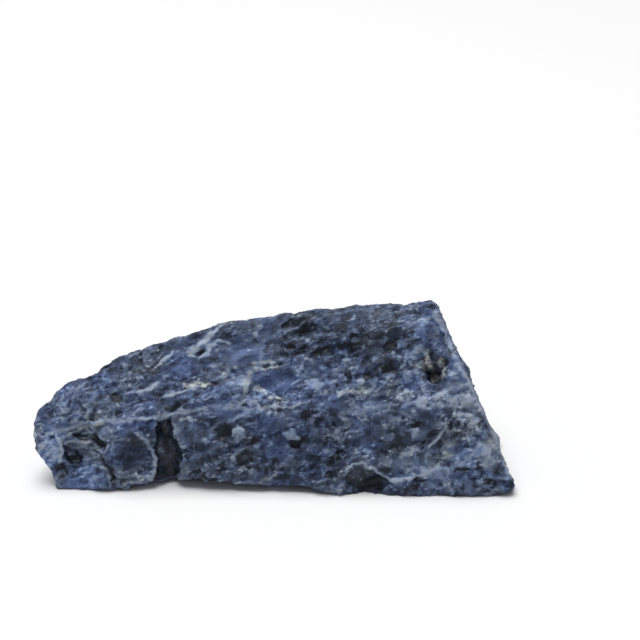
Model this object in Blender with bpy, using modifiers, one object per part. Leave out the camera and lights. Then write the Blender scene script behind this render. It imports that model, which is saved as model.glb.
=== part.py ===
"""Rough sodalite: one broken lump of blue rock, lying on its flattest side.

Run with: blender --background --python part.py
Metres, +Z up. +X runs along the long front face, and -Y is the front.
The origin is under the middle of the lump, at the level that it rests on.
"""

import math

import bmesh
import bpy
import numpy as np
from mathutils import Matrix, Vector, bvhtree, kdtree, noise

# Driving sizes of the lump over its roughness, to about half a millimetre.
LENGTH = 0.0910
DEPTH = 0.0375
HEIGHT = 0.0325

# The lump was drawn at those sizes, so a drawn millimetre is a share of one of them.
DRAWN = Vector((LENGTH / 91, DEPTH / 37.5, HEIGHT / 32.5))
MM = LENGTH / 91

# Corners of the broken block in drawn millimetres: along from the middle, back from the foot, up.
CORNERS = {
    "front foot, left": (-41.6, 0.6, -0.35),
    "front foot, inner": (-31.5, -0.2, -0.35),
    "front foot, right": (42.8, -3.0, -0.35),
    "right foot": (44.2, 4.0, -0.35),
    "back foot, right": (44.0, 24.0, -0.35),
    "back foot, middle": (16.0, 34.0, -0.35),
    "back foot, inner": (-14.0, 33.0, -0.35),
    "back foot, left": (-37.0, 20.0, -0.35),
    "left tip": (-46.4, 3.4, 9.8),
    "left tip, back": (-43.0, 15.0, 7.0),
    "crease, left": (-35.2, 2.8, 12.6),
    "crease, middle": (-9.2, 4.0, 15.8),
    "crease, inner": (13.7, 4.7, 18.8),
    "crease, right": (39.2, 2.6, 17.0),
    "top edge, left end": (-45.0, 6.3, 14.2),
    "top edge, low": (-41.0, 8.4, 17.3),
    "top edge, rising": (-32.0, 10.6, 21.0),
    "top edge, middle": (-10.4, 15.0, 28.3),
    "top edge, inner": (4.7, 15.6, 30.0),
    "peak": (31.6, 16.2, 32.2),
    "back of the top, left": (-31.0, 17.0, 19.5),
    "back of the top, middle": (-8.0, 22.0, 26.0),
    "back of the top, inner": (12.0, 23.5, 27.5),
    "back of the peak": (30.5, 22.0, 28.5),
    "back wall, left": (-38.0, 19.0, 11.0),
    "back wall, middle": (-12.0, 33.0, 12.0),
    "back wall, right": (17.0, 34.0, 13.0),
    "right edge, upper": (37.2, 6.4, 20.6),
    "right edge, middle": (40.5, 1.7, 13.0),
    "right edge, lower": (44.2, -0.8, 6.3),
    "right tip": (45.6, -1.8, 3.4),
    "right end, back top": (36.0, 23.0, 22.0),
    "right end, back": (42.5, 25.0, 8.0),
}

# The beds of the rock: the direction through them sets the slant of every ledge and streak.
THROUGH_BEDS = Vector((-0.33, 0.42, 0.84)).normalized()
ALONG_BEDS = (Vector((1, 0, 0)) - THROUGH_BEDS * THROUGH_BEDS.x).normalized()
ACROSS_BEDS = THROUGH_BEDS.cross(ALONG_BEDS)
BEDS = np.array([ALONG_BEDS, ACROSS_BEDS, THROUGH_BEDS])

# Grains lie flat in the beds: how much shorter than a round grain each counts in there.
GRAIN_SQUASH = np.array((0.6, 0.8, 1.25))

# The right end broke along a cleavage that is straight at its front edge and steps inwards
# behind it: the foot of that edge, the way the face looks and the way its steps run back.
CLEAVAGE_FOOT = (45.1, -2.4, 2.2)
CLEAVAGE_FACING = Vector((0.912, 0.055, 0.407)).normalized()
CLEAVAGE_BACKWARD = Vector((0.159, 0.865, -0.474)).normalized()
CLEAVAGE_STEPS = (5.5 * MM, 0.12, 1.3 * MM, 13)
CLEAVAGE_START = 6.0 * MM

# Shell-shaped scars where a flake came off, in drawn millimetres. Each has the point of the
# skin it is nearest to, the way it faces, and its radii along, up and in.
SCARS = {
    "arch under the front": ((-9.0, -2.0, -0.35), (0, -1, 0), (23.0, 1.7, 9.0)),
    "dish in the left face": ((-26.2, 0.0, 7.4), (0.2, -0.97, 0.1), (3.5, 4.4, 1.5)),
    "hollow of the left tip": ((-36.6, 0.0, 8.6), (-0.1, -0.95, 0.2), (4.2, 4.4, 1.5)),
    "notch in the top edge": ((21.5, 15.0, 32.5), (0, -0.4, 0.9), (5.5, 5.0, 1.7)),
    "pit by the peak": ((30.4, 9.5, 27.0), (0.1, -0.75, 0.65), (2.4, 3.0, 2.2)),
    "scar over the right foot": ((17.8, -3.0, 2.6), (0, -0.95, -0.25), (4.8, 2.4, 1.4)),
    "hollow in the right face": ((32.0, -2.0, 11.0), (0.1, -0.97, 0.2), (5.0, 3.4, 1.2)),
    "scar in the lower face": ((-3.6, 0.0, 8.6), (0, -1, 0.1), (2.2, 2.4, 0.9)),
    "scar over the arch": ((7.6, 0.0, 12.2), (0.1, -1, 0.2), (3.4, 2.6, 0.9)),
    "scar on the slope": ((-3.0, 8.0, 21.6), (0, -0.77, 0.64), (6.0, 3.2, 0.8)),
    "shell high on the back": ((-6.0, 30.0, 20.0), (0, 0.8, 0.6), (12.0, 6.0, 2.2)),
    "shell in the back wall": ((8.0, 36.0, 8.0), (0, 1, 0.1), (9.0, 5.0, 1.8)),
    "shell by the back foot": ((30.0, 32.0, 10.0), (0.3, 0.9, 0.2), (8.0, 6.0, 2.2)),
    "shell behind the left tip": ((-33.0, 22.0, 9.0), (-0.5, 0.85, 0.2), (6.5, 5.0, 1.6)),
    "shell behind the peak": ((24.0, 26.0, 26.0), (0.1, 0.6, 0.8), (6.0, 3.6, 1.4)),
    "shell in the right end": ((42.0, 16.0, 10.0), (0.95, 0.2, 0.2), (6.5, 5.5, 3.4)),
    "hollow underneath": ((6.0, 17.0, -1.0), (0, 0, -1), (20.0, 9.0, 2.2)),
    "hollow under the left": ((-22.0, 12.0, -1.0), (0, 0, -1), (8.0, 7.0, 1.7)),
    "hollow under the right": ((34.0, 12.0, -1.0), (0, 0, -1), (7.0, 8.0, 1.6)),
}

# The cleft in the lower face: its foot, its head, its depth and the width of each wall.
CLEFT_FOOT = Vector((-19.2, 0.4, -1.0))
CLEFT_HEAD = Vector((-20.6, 3.8, 14.6))
CLEFT_DEPTH = 2.4
CLEFT_WALLS = (4.6, 1.7)

VOXEL = 0.7 * MM
TRIANGLES = 9000

# Flat grain faces, coarse to fine: cell size, steepness of a face, step between faces, seed.
GRAIN_FACES = (
    (7.0 * MM, 0.12, 0.25 * MM, 11),
    (3.2 * MM, 0.17, 0.16 * MM, 12),
)
BED_THICKNESS = 3.1 * MM
LEDGE_HEIGHT = 0.75 * MM
WEATHERING = 0.2 * MM

STONE_COLOUR = (0.085, 0.115, 0.205, 1.0)
STONE_ROUGHNESS = 0.55


def remove_startup_objects():
    for obj in list(bpy.data.objects):
        bpy.data.objects.remove(obj)


def drawn(point):
    """A point in drawn millimetres, in metres."""
    return Vector(point) * DRAWN


def apply_modifiers(obj):
    graph = bpy.context.evaluated_depsgraph_get()
    finished = bpy.data.meshes.new_from_object(obj.evaluated_get(graph))
    obj.modifiers.clear()
    obj.data = finished


def broken_block(name):
    """The plain block that the corners span, with flat sides and sharp edges."""
    shape = bmesh.new()
    for corner in CORNERS.values():
        shape.verts.new(drawn(corner))
    hull = bmesh.ops.convex_hull(shape, input=shape.verts)
    inside = [v for v in hull["geom_interior"] if isinstance(v, bmesh.types.BMVert)]
    bmesh.ops.delete(shape, geom=inside, context="VERTS")
    bmesh.ops.recalc_face_normals(shape, faces=shape.faces)
    mesh = bpy.data.meshes.new(name)
    shape.to_mesh(mesh)
    shape.free()
    return bpy.data.objects.new(name, mesh)


def scar_cutter(name, skin, near, facing, radii):
    """A ball squashed to the scar's radii, with its middle on the skin of the block."""
    mouth = skin.find_nearest(drawn(near))[0]
    bpy.ops.mesh.primitive_ico_sphere_add(subdivisions=4, radius=1)
    ball = bpy.context.object
    ball.name = name
    along, up, deep = (radius * MM for radius in radii)
    turn = Vector(facing).to_track_quat("Z", "Y").to_matrix().to_4x4()
    place = Matrix.Translation(mouth) @ turn @ Matrix.Diagonal((along, up, deep, 1))
    ball.data.transform(place)
    return ball


def cleft_cutter():
    """A wedge whose sharp edge is the bottom of the cleft, wide wall to the left."""
    wide, narrow = CLEFT_WALLS
    outward = Vector((0, -1, 0))
    shape = bmesh.new()
    ends = []
    for end, reach in ((CLEFT_FOOT, -1.0), (CLEFT_HEAD, 1.0)):
        middle = end + Vector((0, 0, reach))
        corners = (
            middle - outward * CLEFT_DEPTH,
            middle + outward * 2 + Vector((-wide, 0, 0)),
            middle + outward * 2 + Vector((narrow, 0, 0)),
        )
        ends.append([shape.verts.new(drawn(corner)) for corner in corners])
    bmesh.ops.convex_hull(shape, input=shape.verts)
    bmesh.ops.recalc_face_normals(shape, faces=shape.faces)
    mesh = bpy.data.meshes.new("Cleft")
    shape.to_mesh(mesh)
    shape.free()
    return bpy.data.objects.new("Cleft", mesh)


def cut_away(obj, tool, cutters):
    """Keeps the tool out of sight among the cutters, and takes it from the object."""
    for home in tool.users_collection:
        home.objects.unlink(tool)
    cutters.objects.link(tool)
    tool.hide_render = True
    tool.display_type = "WIRE"
    cut = obj.modifiers.new(tool.name, "BOOLEAN")
    cut.operation = "DIFFERENCE"
    cut.solver = "EXACT"
    cut.object = tool


def grain_faces(points, spacing, steepness, step, seed):
    """Height of flat faces: each point lies on the tilted plane of its nearest seed."""
    random = np.random.default_rng(seed)
    places = points @ BEDS.T * GRAIN_SQUASH
    ends = zip(places.min(0) - spacing, places.max(0) + spacing)
    ticks = [np.arange(low, high, spacing) for low, high in ends]
    seeds = np.stack(np.meshgrid(*ticks, indexing="ij"), -1).reshape(-1, 3)
    seeds += random.uniform(-0.5, 0.5, seeds.shape) * spacing
    tilts = random.normal(0, steepness / math.sqrt(2), seeds.shape)
    steps = random.uniform(-step, step, len(seeds))
    tree = kdtree.KDTree(len(seeds))
    for index, seed_place in enumerate(seeds):
        tree.insert(seed_place, index)
    tree.balance()
    nearest = np.array([tree.find(place)[1] for place in places])
    return steps[nearest] + np.einsum("ij,ij->i", places - seeds[nearest], tilts[nearest])


def smooth_noise(points, size, octaves=3):
    """Fractal noise from about -1 to 1, with lumps of the given size."""
    return np.array([noise.fractal(Vector(point / size), 0.9, 2.1, octaves) for point in points])


def ledges(points):
    """Sawtooth steps where the beds crop out, strongest in patches."""
    wobble = 0.8 * smooth_noise(points, 14 * MM)
    bed = points @ np.array(THROUGH_BEDS) / BED_THICKNESS + wobble
    patches = np.clip(0.55 + 0.9 * smooth_noise(points + 0.5, 11 * MM), 0, 1)
    return patches * (bed - np.floor(bed) - 0.5)


def cleave_right_end(points):
    """Presses whatever stands beyond the cleavage back onto its steps."""
    from_foot = points - np.array(drawn(CLEAVAGE_FOOT))
    start = np.clip(from_foot @ np.array(CLEAVAGE_BACKWARD) / CLEAVAGE_START, 0, 1)
    depth = start * np.abs(grain_faces(points, *CLEAVAGE_STEPS))
    beyond = from_foot @ np.array(CLEAVAGE_FACING) + depth
    return points - np.array(CLEAVAGE_FACING) * np.maximum(beyond, 0)[:, None]


def roughen(obj):
    """Moves the skin in and out along its normals, into grain faces, ledges and lumps."""
    count = len(obj.data.vertices)
    points = np.empty(count * 3)
    obj.data.vertices.foreach_get("co", points)
    points = points.reshape(-1, 3)
    normals = np.empty(count * 3)
    obj.data.vertices.foreach_get("normal", normals)
    height = sum(grain_faces(points, *face) for face in GRAIN_FACES)
    height += LEDGE_HEIGHT * ledges(points)
    height += WEATHERING * smooth_noise(points + 0.2, 9 * MM, 5)
    moved = points + normals.reshape(-1, 3) * height[:, None]
    moved = cleave_right_end(moved)
    obj.data.vertices.foreach_set("co", moved.ravel())
    obj.data.update()


def seat_cutter():
    """A slab that takes away whatever hangs below the level the lump rests on."""
    bpy.ops.mesh.primitive_cube_add(size=1)
    slab = bpy.context.object
    slab.name = "Below the seat"
    thick = 0.5 * HEIGHT
    size = Matrix.Diagonal((2 * LENGTH, 4 * DEPTH, thick, 1))
    slab.data.transform(Matrix.Translation((0, 0, -0.5 * thick)) @ size)
    return slab


def put_origin_under_middle(obj):
    corners = np.array([v.co for v in obj.data.vertices])
    middle = (corners.min(0) + corners.max(0)) / 2
    obj.data.transform(Matrix.Translation((-middle[0], -middle[1], 0)))


def stone_material():
    material = bpy.data.materials.new("Rough sodalite")
    material.use_nodes = True
    shader = material.node_tree.nodes["Principled BSDF"]
    shader.inputs["Base Color"].default_value = STONE_COLOUR
    shader.inputs["Roughness"].default_value = STONE_ROUGHNESS
    shader.inputs["Metallic"].default_value = 0.0
    return material


def main():
    remove_startup_objects()
    parts = bpy.data.collections.new("Rough sodalite")
    cutters = bpy.data.collections.new("Cutters")
    bpy.context.scene.collection.children.link(parts)
    bpy.context.scene.collection.children.link(cutters)

    stone = broken_block("rough_sodalite")
    parts.objects.link(stone)
    corners = [v.co for v in stone.data.vertices]
    skin = bvhtree.BVHTree.FromPolygons(corners, [p.vertices for p in stone.data.polygons])
    for name, scar in SCARS.items():
        cut_away(stone, scar_cutter(name, skin, *scar), cutters)
    cut_away(stone, cleft_cutter(), cutters)
    even = stone.modifiers.new("Even skin", "REMESH")
    even.mode = "VOXEL"
    even.voxel_size = VOXEL
    apply_modifiers(stone)

    roughen(stone)
    thinned = stone.modifiers.new("Fewer faces", "DECIMATE")
    thinned.ratio = TRIANGLES / (2 * len(stone.data.polygons))
    cut_away(stone, seat_cutter(), cutters)
    apply_modifiers(stone)
    put_origin_under_middle(stone)
    stone.data.materials.append(stone_material())


main()
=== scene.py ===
import math

import bpy
import numpy as np
from mathutils import Matrix, Vector, kdtree, noise


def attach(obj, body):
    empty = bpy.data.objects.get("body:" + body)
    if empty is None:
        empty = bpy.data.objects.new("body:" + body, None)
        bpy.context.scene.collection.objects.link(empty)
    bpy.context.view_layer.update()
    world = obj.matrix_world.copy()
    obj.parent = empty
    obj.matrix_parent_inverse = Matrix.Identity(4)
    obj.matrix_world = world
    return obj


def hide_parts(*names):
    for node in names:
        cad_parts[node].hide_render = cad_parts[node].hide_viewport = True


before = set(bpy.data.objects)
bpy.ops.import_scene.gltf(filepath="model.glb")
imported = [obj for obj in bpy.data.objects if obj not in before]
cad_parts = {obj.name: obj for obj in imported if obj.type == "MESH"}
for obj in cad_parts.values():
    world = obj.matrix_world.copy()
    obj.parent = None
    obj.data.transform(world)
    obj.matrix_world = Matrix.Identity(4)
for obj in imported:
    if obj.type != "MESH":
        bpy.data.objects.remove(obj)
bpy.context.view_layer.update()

# The photographer's view: from the front, a little above, with a long lens. Places on the
# stone are given further down as pixels of this view, 640 by 640, x to the right and y down.
VIEW_SIZE = 640
VIEW_LENS = 100
VIEW_SENSOR = 36
VIEW_PLACE = (0.00899, -0.31661, 0.15639)
VIEW_TILT = 22
bpy.ops.object.camera_add(location=VIEW_PLACE, rotation=(math.radians(90 - VIEW_TILT), 0, 0))
camera = bpy.context.object
camera.name = "photographers_view"
camera.data.lens = VIEW_LENS
camera.data.sensor_width = VIEW_SENSOR
camera.data.clip_start = 0.01
bpy.context.scene.camera = camera
bpy.context.view_layer.update()

# The lump: one piece of sodalite rock, broken out and left as it broke. Its main form is the
# solid's, given a skin that is fine enough for grains a third of a millimetre across.
MM = 0.001
FINE_SKIN = 0.26 * MM
SAME_POINT = 0.01 * MM
WORN_SHARE = 0.5
WORN_TIMES = 6
bpy.ops.object.select_all(action="DESELECT")
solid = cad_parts["rough_sodalite"]
lump = bpy.data.objects.new("sodalite_lump", solid.data.copy())
bpy.context.scene.collection.objects.link(lump)
lump.select_set(True)
bpy.context.view_layer.objects.active = lump
bpy.ops.object.mode_set(mode="EDIT")
bpy.ops.mesh.select_all(action="SELECT")
bpy.ops.mesh.remove_doubles(threshold=SAME_POINT)
bpy.ops.object.mode_set(mode="OBJECT")
skin = lump.modifiers.new("skin", "REMESH")
skin.mode = "VOXEL"
skin.voxel_size = FINE_SKIN
bpy.ops.object.modifier_apply(modifier="skin")
worn = lump.modifiers.new("worn", "SMOOTH")
worn.factor = WORN_SHARE
worn.iterations = WORN_TIMES
bpy.ops.object.modifier_apply(modifier="worn")


def of_all_points(attribute):
    """One vector of every point of the lump's skin, as rows."""
    rows = np.empty(len(lump.data.vertices) * 3, np.float32)
    lump.data.vertices.foreach_get(attribute, rows)
    return rows.reshape(-1, 3).astype(float)


points = of_all_points("co")
outward = of_all_points("normal")

edges = np.empty(len(lump.data.edges) * 2, np.int64)
lump.data.edges.foreach_get("vertices", edges)
edges = edges.reshape(-1, 2)
neighbours = np.bincount(edges.ravel(), minlength=len(points))[:, None]


def rubbed(rows, times):
    """The rows averaged with their neighbours' again and again, as if the skin were rubbed."""
    for _ in range(times):
        total = np.zeros_like(rows)
        for column in range(rows.shape[1]):
            total[:, column] += np.bincount(edges[:, 0], rows[edges[:, 1], column], len(rows))
            total[:, column] += np.bincount(edges[:, 1], rows[edges[:, 0], column], len(rows))
        rows = 0.5 * rows + 0.5 * total / neighbours
    return rows


BROAD_RUBBING = 40
SOFT_RUBBING = 30
broad_outward = rubbed(outward, BROAD_RUBBING)
broad_outward /= np.linalg.norm(broad_outward, axis=1)[:, None]
rubbed_points = rubbed(points, SOFT_RUBBING)


def ramp(values, low, high):
    """0 up to low, 1 from high, and a smooth rise between them."""
    share = np.clip((values - low) / (high - low), 0, 1)
    return share * share * (3 - 2 * share)


def cloud(size, seed, octaves=3):
    """Smooth noise from about -1 to 1 on every point, with lumps of the given size."""
    start = Vector((seed * 7.3, seed * 3.1, seed * 5.7))
    fading, finer = 0.9, 2.1
    return np.array([noise.fractal(Vector(p / size) + start, fading, finer, octaves) for p in points])


# The grain: the rock splits along flat beds that climb to the right and to the front, so
# grains, ledges and streaks lie along them. It is a mosaic of grains, each broken to a face of
# its own that is a little tilted, stepped and dished.
THROUGH_BEDS = Vector((-0.33, 0.42, 0.84)).normalized()
ALONG_BEDS = (Vector((1, 0, 0)) - THROUGH_BEDS * THROUGH_BEDS.x).normalized()
ACROSS_BEDS = THROUGH_BEDS.cross(ALONG_BEDS)
BEDS = np.array([ALONG_BEDS, ACROSS_BEDS, THROUGH_BEDS])
in_beds = points @ BEDS.T
wander = np.stack([cloud(2.2 * MM, seed) for seed in (41, 42, 43)], 1)


def grains(size, squash, steepness, step, dish, seed):
    """For each point: the height of its grain's face, two random numbers of the grain, and how
    far the point is from the grain's border."""
    random = np.random.default_rng(seed)
    places = in_beds * squash + 0.35 * size * wander
    ends = zip(places.min(0) - size, places.max(0) + size)
    ticks = [np.arange(low, high, size) for low, high in ends]
    seeds = np.stack(np.meshgrid(*ticks, indexing="ij"), -1).reshape(-1, 3)
    seeds += random.uniform(-0.5, 0.5, seeds.shape) * size
    tree = kdtree.KDTree(len(seeds))
    for index, place in enumerate(seeds):
        tree.insert(place, index)
    tree.balance()
    pairs = np.array([[found[1] for found in tree.find_n(place, 2)] for place in places])
    own, next_one = seeds[pairs[:, 0]], seeds[pairs[:, 1]]
    apart = next_one - own
    halfway = (own + next_one) / 2
    border = np.einsum("ij,ij->i", halfway - places, apart) / np.linalg.norm(apart, axis=1)
    tilts = random.normal(0, steepness / math.sqrt(2), seeds.shape)[pairs[:, 0]]
    steps = random.uniform(-step, step, len(seeds))[pairs[:, 0]]
    chances = random.uniform(0, 1, (len(seeds), 2))[pairs[:, 0]]
    lean = np.einsum("ij,ij->i", places - own, tilts)
    bowl = dish * (np.linalg.norm(places - own, axis=1) / size) ** 2
    return steps + lean + bowl, chances[:, 0], chances[:, 1], border


# On the sloping sides the beds crop out as long thin ledges. On the steep sides the rock broke
# across them, into round grains and shells. LONG and ROUND squash the grains along the beds.
LONG = (0.6, 0.85, 1.2)
ROUND = (0.9, 1.0, 1.1)
LEDGE_THICKNESS = 1.5 * MM
LEDGE_HEIGHT = 0.20 * MM
GRAIN_BORDER = 0.28 * MM
SHELL_BORDER = 0.35 * MM
streaky = ramp(broad_outward[:, 2] + 0.12 * cloud(9 * MM, 5), 0.4, 0.62)
points += (rubbed_points - points) * (1 - 0.4 * streaky)[:, None]
shell_height, shell_tone, shell_hue, shell_border = grains(
    size=5.0 * MM, squash=ROUND, steepness=0.10, step=0.12 * MM, dish=0.35 * MM, seed=25)
long_height, long_tone, long_hue, long_border = grains(
    size=2.0 * MM, squash=LONG, steepness=0.12, step=0.06 * MM, dish=0.0, seed=21)
round_height, round_tone, round_hue, round_border = grains(
    size=1.9 * MM, squash=ROUND, steepness=0.14, step=0.05 * MM, dish=0.12 * MM, seed=24)
fine_height, fine_tone, fine_hue, _ = grains(
    size=0.9 * MM, squash=(0.7, 0.9, 1.2), steepness=0.14, step=0.02 * MM, dish=0.0, seed=22)
bed = in_beds[:, 2] / LEDGE_THICKNESS + 0.7 * cloud(6 * MM, 1)
ledge = (bed - np.floor(bed) - 0.5) * ramp(cloud(4 * MM, 2), -0.4, 0.5)
relief = streaky * (long_height + LEDGE_HEIGHT * ledge)
relief += (1 - streaky) * (round_height + shell_height * ramp(cloud(8 * MM, 6), -0.3, 0.3))
relief += fine_height + 0.07 * MM * cloud(2.5 * MM, 3)
mosaic = round_tone + (long_tone - round_tone) * streaky
hue = 0.5 * shell_hue + 0.3 * (round_hue + (long_hue - round_hue) * streaky) + 0.2 * fine_hue
web_here = ramp(cloud(5 * MM, 8), -0.25, 0.25)
grain_border = round_border + (long_border - round_border) * streaky
web = web_here * (1 - ramp(grain_border, 0.0, GRAIN_BORDER))
web = np.maximum(web, 0.8 * (1 - streaky) * web_here * (1 - ramp(shell_border, 0.0, SHELL_BORDER)))

# Marks: veins, stains, glassy cleavage faces and hollows, and some painted light and shade. Each is
# drawn on one side of the lump as that side is seen from in front of it, and only colours or shapes
# what faces there.
SHOWN = ("pale", "cream", "glass_and_shade", "frost")
MIXED_IN = ("powder", "deep", "light", "blue", "grey")
shares = {name: np.zeros(len(points)) for name in SHOWN + MIXED_IN}
smooth = 0.8 * ramp(cloud(3.5 * MM, 7) + 0.35 * (1 - streaky), 0.15, 0.5)
pushed = np.zeros(len(points))
RAGGED_PIXELS = 2.0
ragged = np.stack([cloud(1.3 * MM, 11), cloud(1.3 * MM, 12)], 1) * RAGGED_PIXELS
uneven = np.maximum(0.8 + 0.5 * cloud(2.5 * MM, 13), 0.3)
patchy = ramp(cloud(1.6 * MM, 14), -0.5, 0.3)


VIEW_AWAY = 0.335


def seen_from(turn, tilt, middle):
    """Pixels of all points in a view turned about the lump, and how squarely each faces it."""
    turn, tilt = math.radians(turn), math.radians(tilt)
    back = Vector((math.sin(turn) * math.cos(tilt), -math.cos(turn) * math.cos(tilt), math.sin(tilt)))
    right = Vector((math.cos(turn), math.sin(turn), 0))
    up = right.cross(-back)
    from_eye = points - np.array(Vector(middle) + back * VIEW_AWAY)
    scale = VIEW_SIZE * VIEW_LENS / VIEW_SENSOR / (from_eye @ -np.array(back))
    across = VIEW_SIZE / 2 + scale * (from_eye @ np.array(right))
    down = VIEW_SIZE / 2 - scale * (from_eye @ np.array(up))
    return np.stack([across, down], 1) + ragged, ramp(broad_outward @ np.array(back), 0.02, 0.25)


def off_line(pixels, line):
    """How many pixels each point is from a bent line."""
    nearest = np.full(len(pixels), np.inf)
    for start, end in zip(line, line[1:]):
        start, along = np.array(start, float), np.subtract(end, start)
        share = np.clip((pixels - start) @ along / (along @ along), 0, 1)
        nearest = np.minimum(nearest, np.linalg.norm(pixels - start - share[:, None] * along, axis=1))
    return nearest


def inside(pixels, outline):
    """How many pixels each point is inside a closed outline, below 0 outside it."""
    crossed = np.zeros(len(pixels), bool)
    for (x0, y0), (x1, y1) in zip(outline, outline[1:] + outline[:1]):
        level = (y0 > pixels[:, 1]) != (y1 > pixels[:, 1])
        reach = x0 + (pixels[:, 1] - y0) * (x1 - x0) / ((y1 - y0) or 1e-9)
        crossed ^= level & (pixels[:, 0] < reach)
    return np.where(crossed, 1, -1) * off_line(pixels, outline + outline[:1])


def add_share(name, amount):
    shares[name] = np.maximum(shares[name], amount)


def draw_vein(view, line, width, name="pale", strength=1.0, raised=0.05):
    """A thin seam of another mineral, raised by millimetres, patchy where weak, with painted shade beside
    it.
    """
    pixels, faces = view
    away = off_line(pixels, line) / (0.5 * width * uneven)
    strength = strength * (strength + (1 - strength) * patchy)
    amount = faces * strength * (1 - ramp(away, 0.5, 1.3))
    shaded_groove = faces * strength * ramp(away, 1.2, 2.0) * (1 - ramp(away, 2.2, 3.4))
    add_share(name, amount)
    # Painted shade: the rock just beside the seam is darkened, as if the raised seam shaded it, and sunk a
    # little.
    add_share("deep", 0.5 * shaded_groove)
    pushed[:] += MM * raised * (amount - 0.6 * shaded_groove)


def draw_patch(view, outline, name, strength=1.0, edge=2.0, flat=0.0, sunk=0.0):
    """A face with its own look: flat makes it smooth, and sunk dishes it, in millimetres."""
    pixels, faces = view
    depth = inside(pixels, outline)
    amount = faces * ramp(depth, -edge, edge)
    add_share(name, strength * amount)
    smooth[:] = np.maximum(smooth, flat * amount)
    pushed[:] -= sunk * MM * faces * ramp(depth, -edge, 2 * edge)


WALLS = 5


def draw_hollow(view, middle, radii, lean, sunk, name="glass_and_shade", strength=0.8):
    """A pit with five flat walls: lean is how many degrees its long axis climbs to the right."""
    pixels, faces = view
    lean = math.radians(lean)
    from_middle = pixels - np.array(middle)
    along = from_middle @ np.array((math.cos(lean), -math.sin(lean))) / radii[0]
    across = from_middle @ np.array((math.sin(lean), math.cos(lean))) / radii[1]
    own = np.random.default_rng([int(middle[0]), int(middle[1])])
    walls = (np.arange(WALLS) + own.uniform(-0.3, 0.3, WALLS)) * 2 * math.pi / WALLS
    reach = own.uniform(0.75, 1.1, WALLS)
    from_walls = [(along * math.cos(a) + across * math.sin(a)) / r for a, r in zip(walls, reach)]
    away = np.max(from_walls, axis=0)
    amount = faces * (1 - ramp(away, 0.45, 1.05))
    add_share(name, strength * amount)
    pushed[:] -= sunk * MM * amount


front = seen_from(0, VIEW_TILT, (0.00899, -0.00601, 0.0309))
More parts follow.
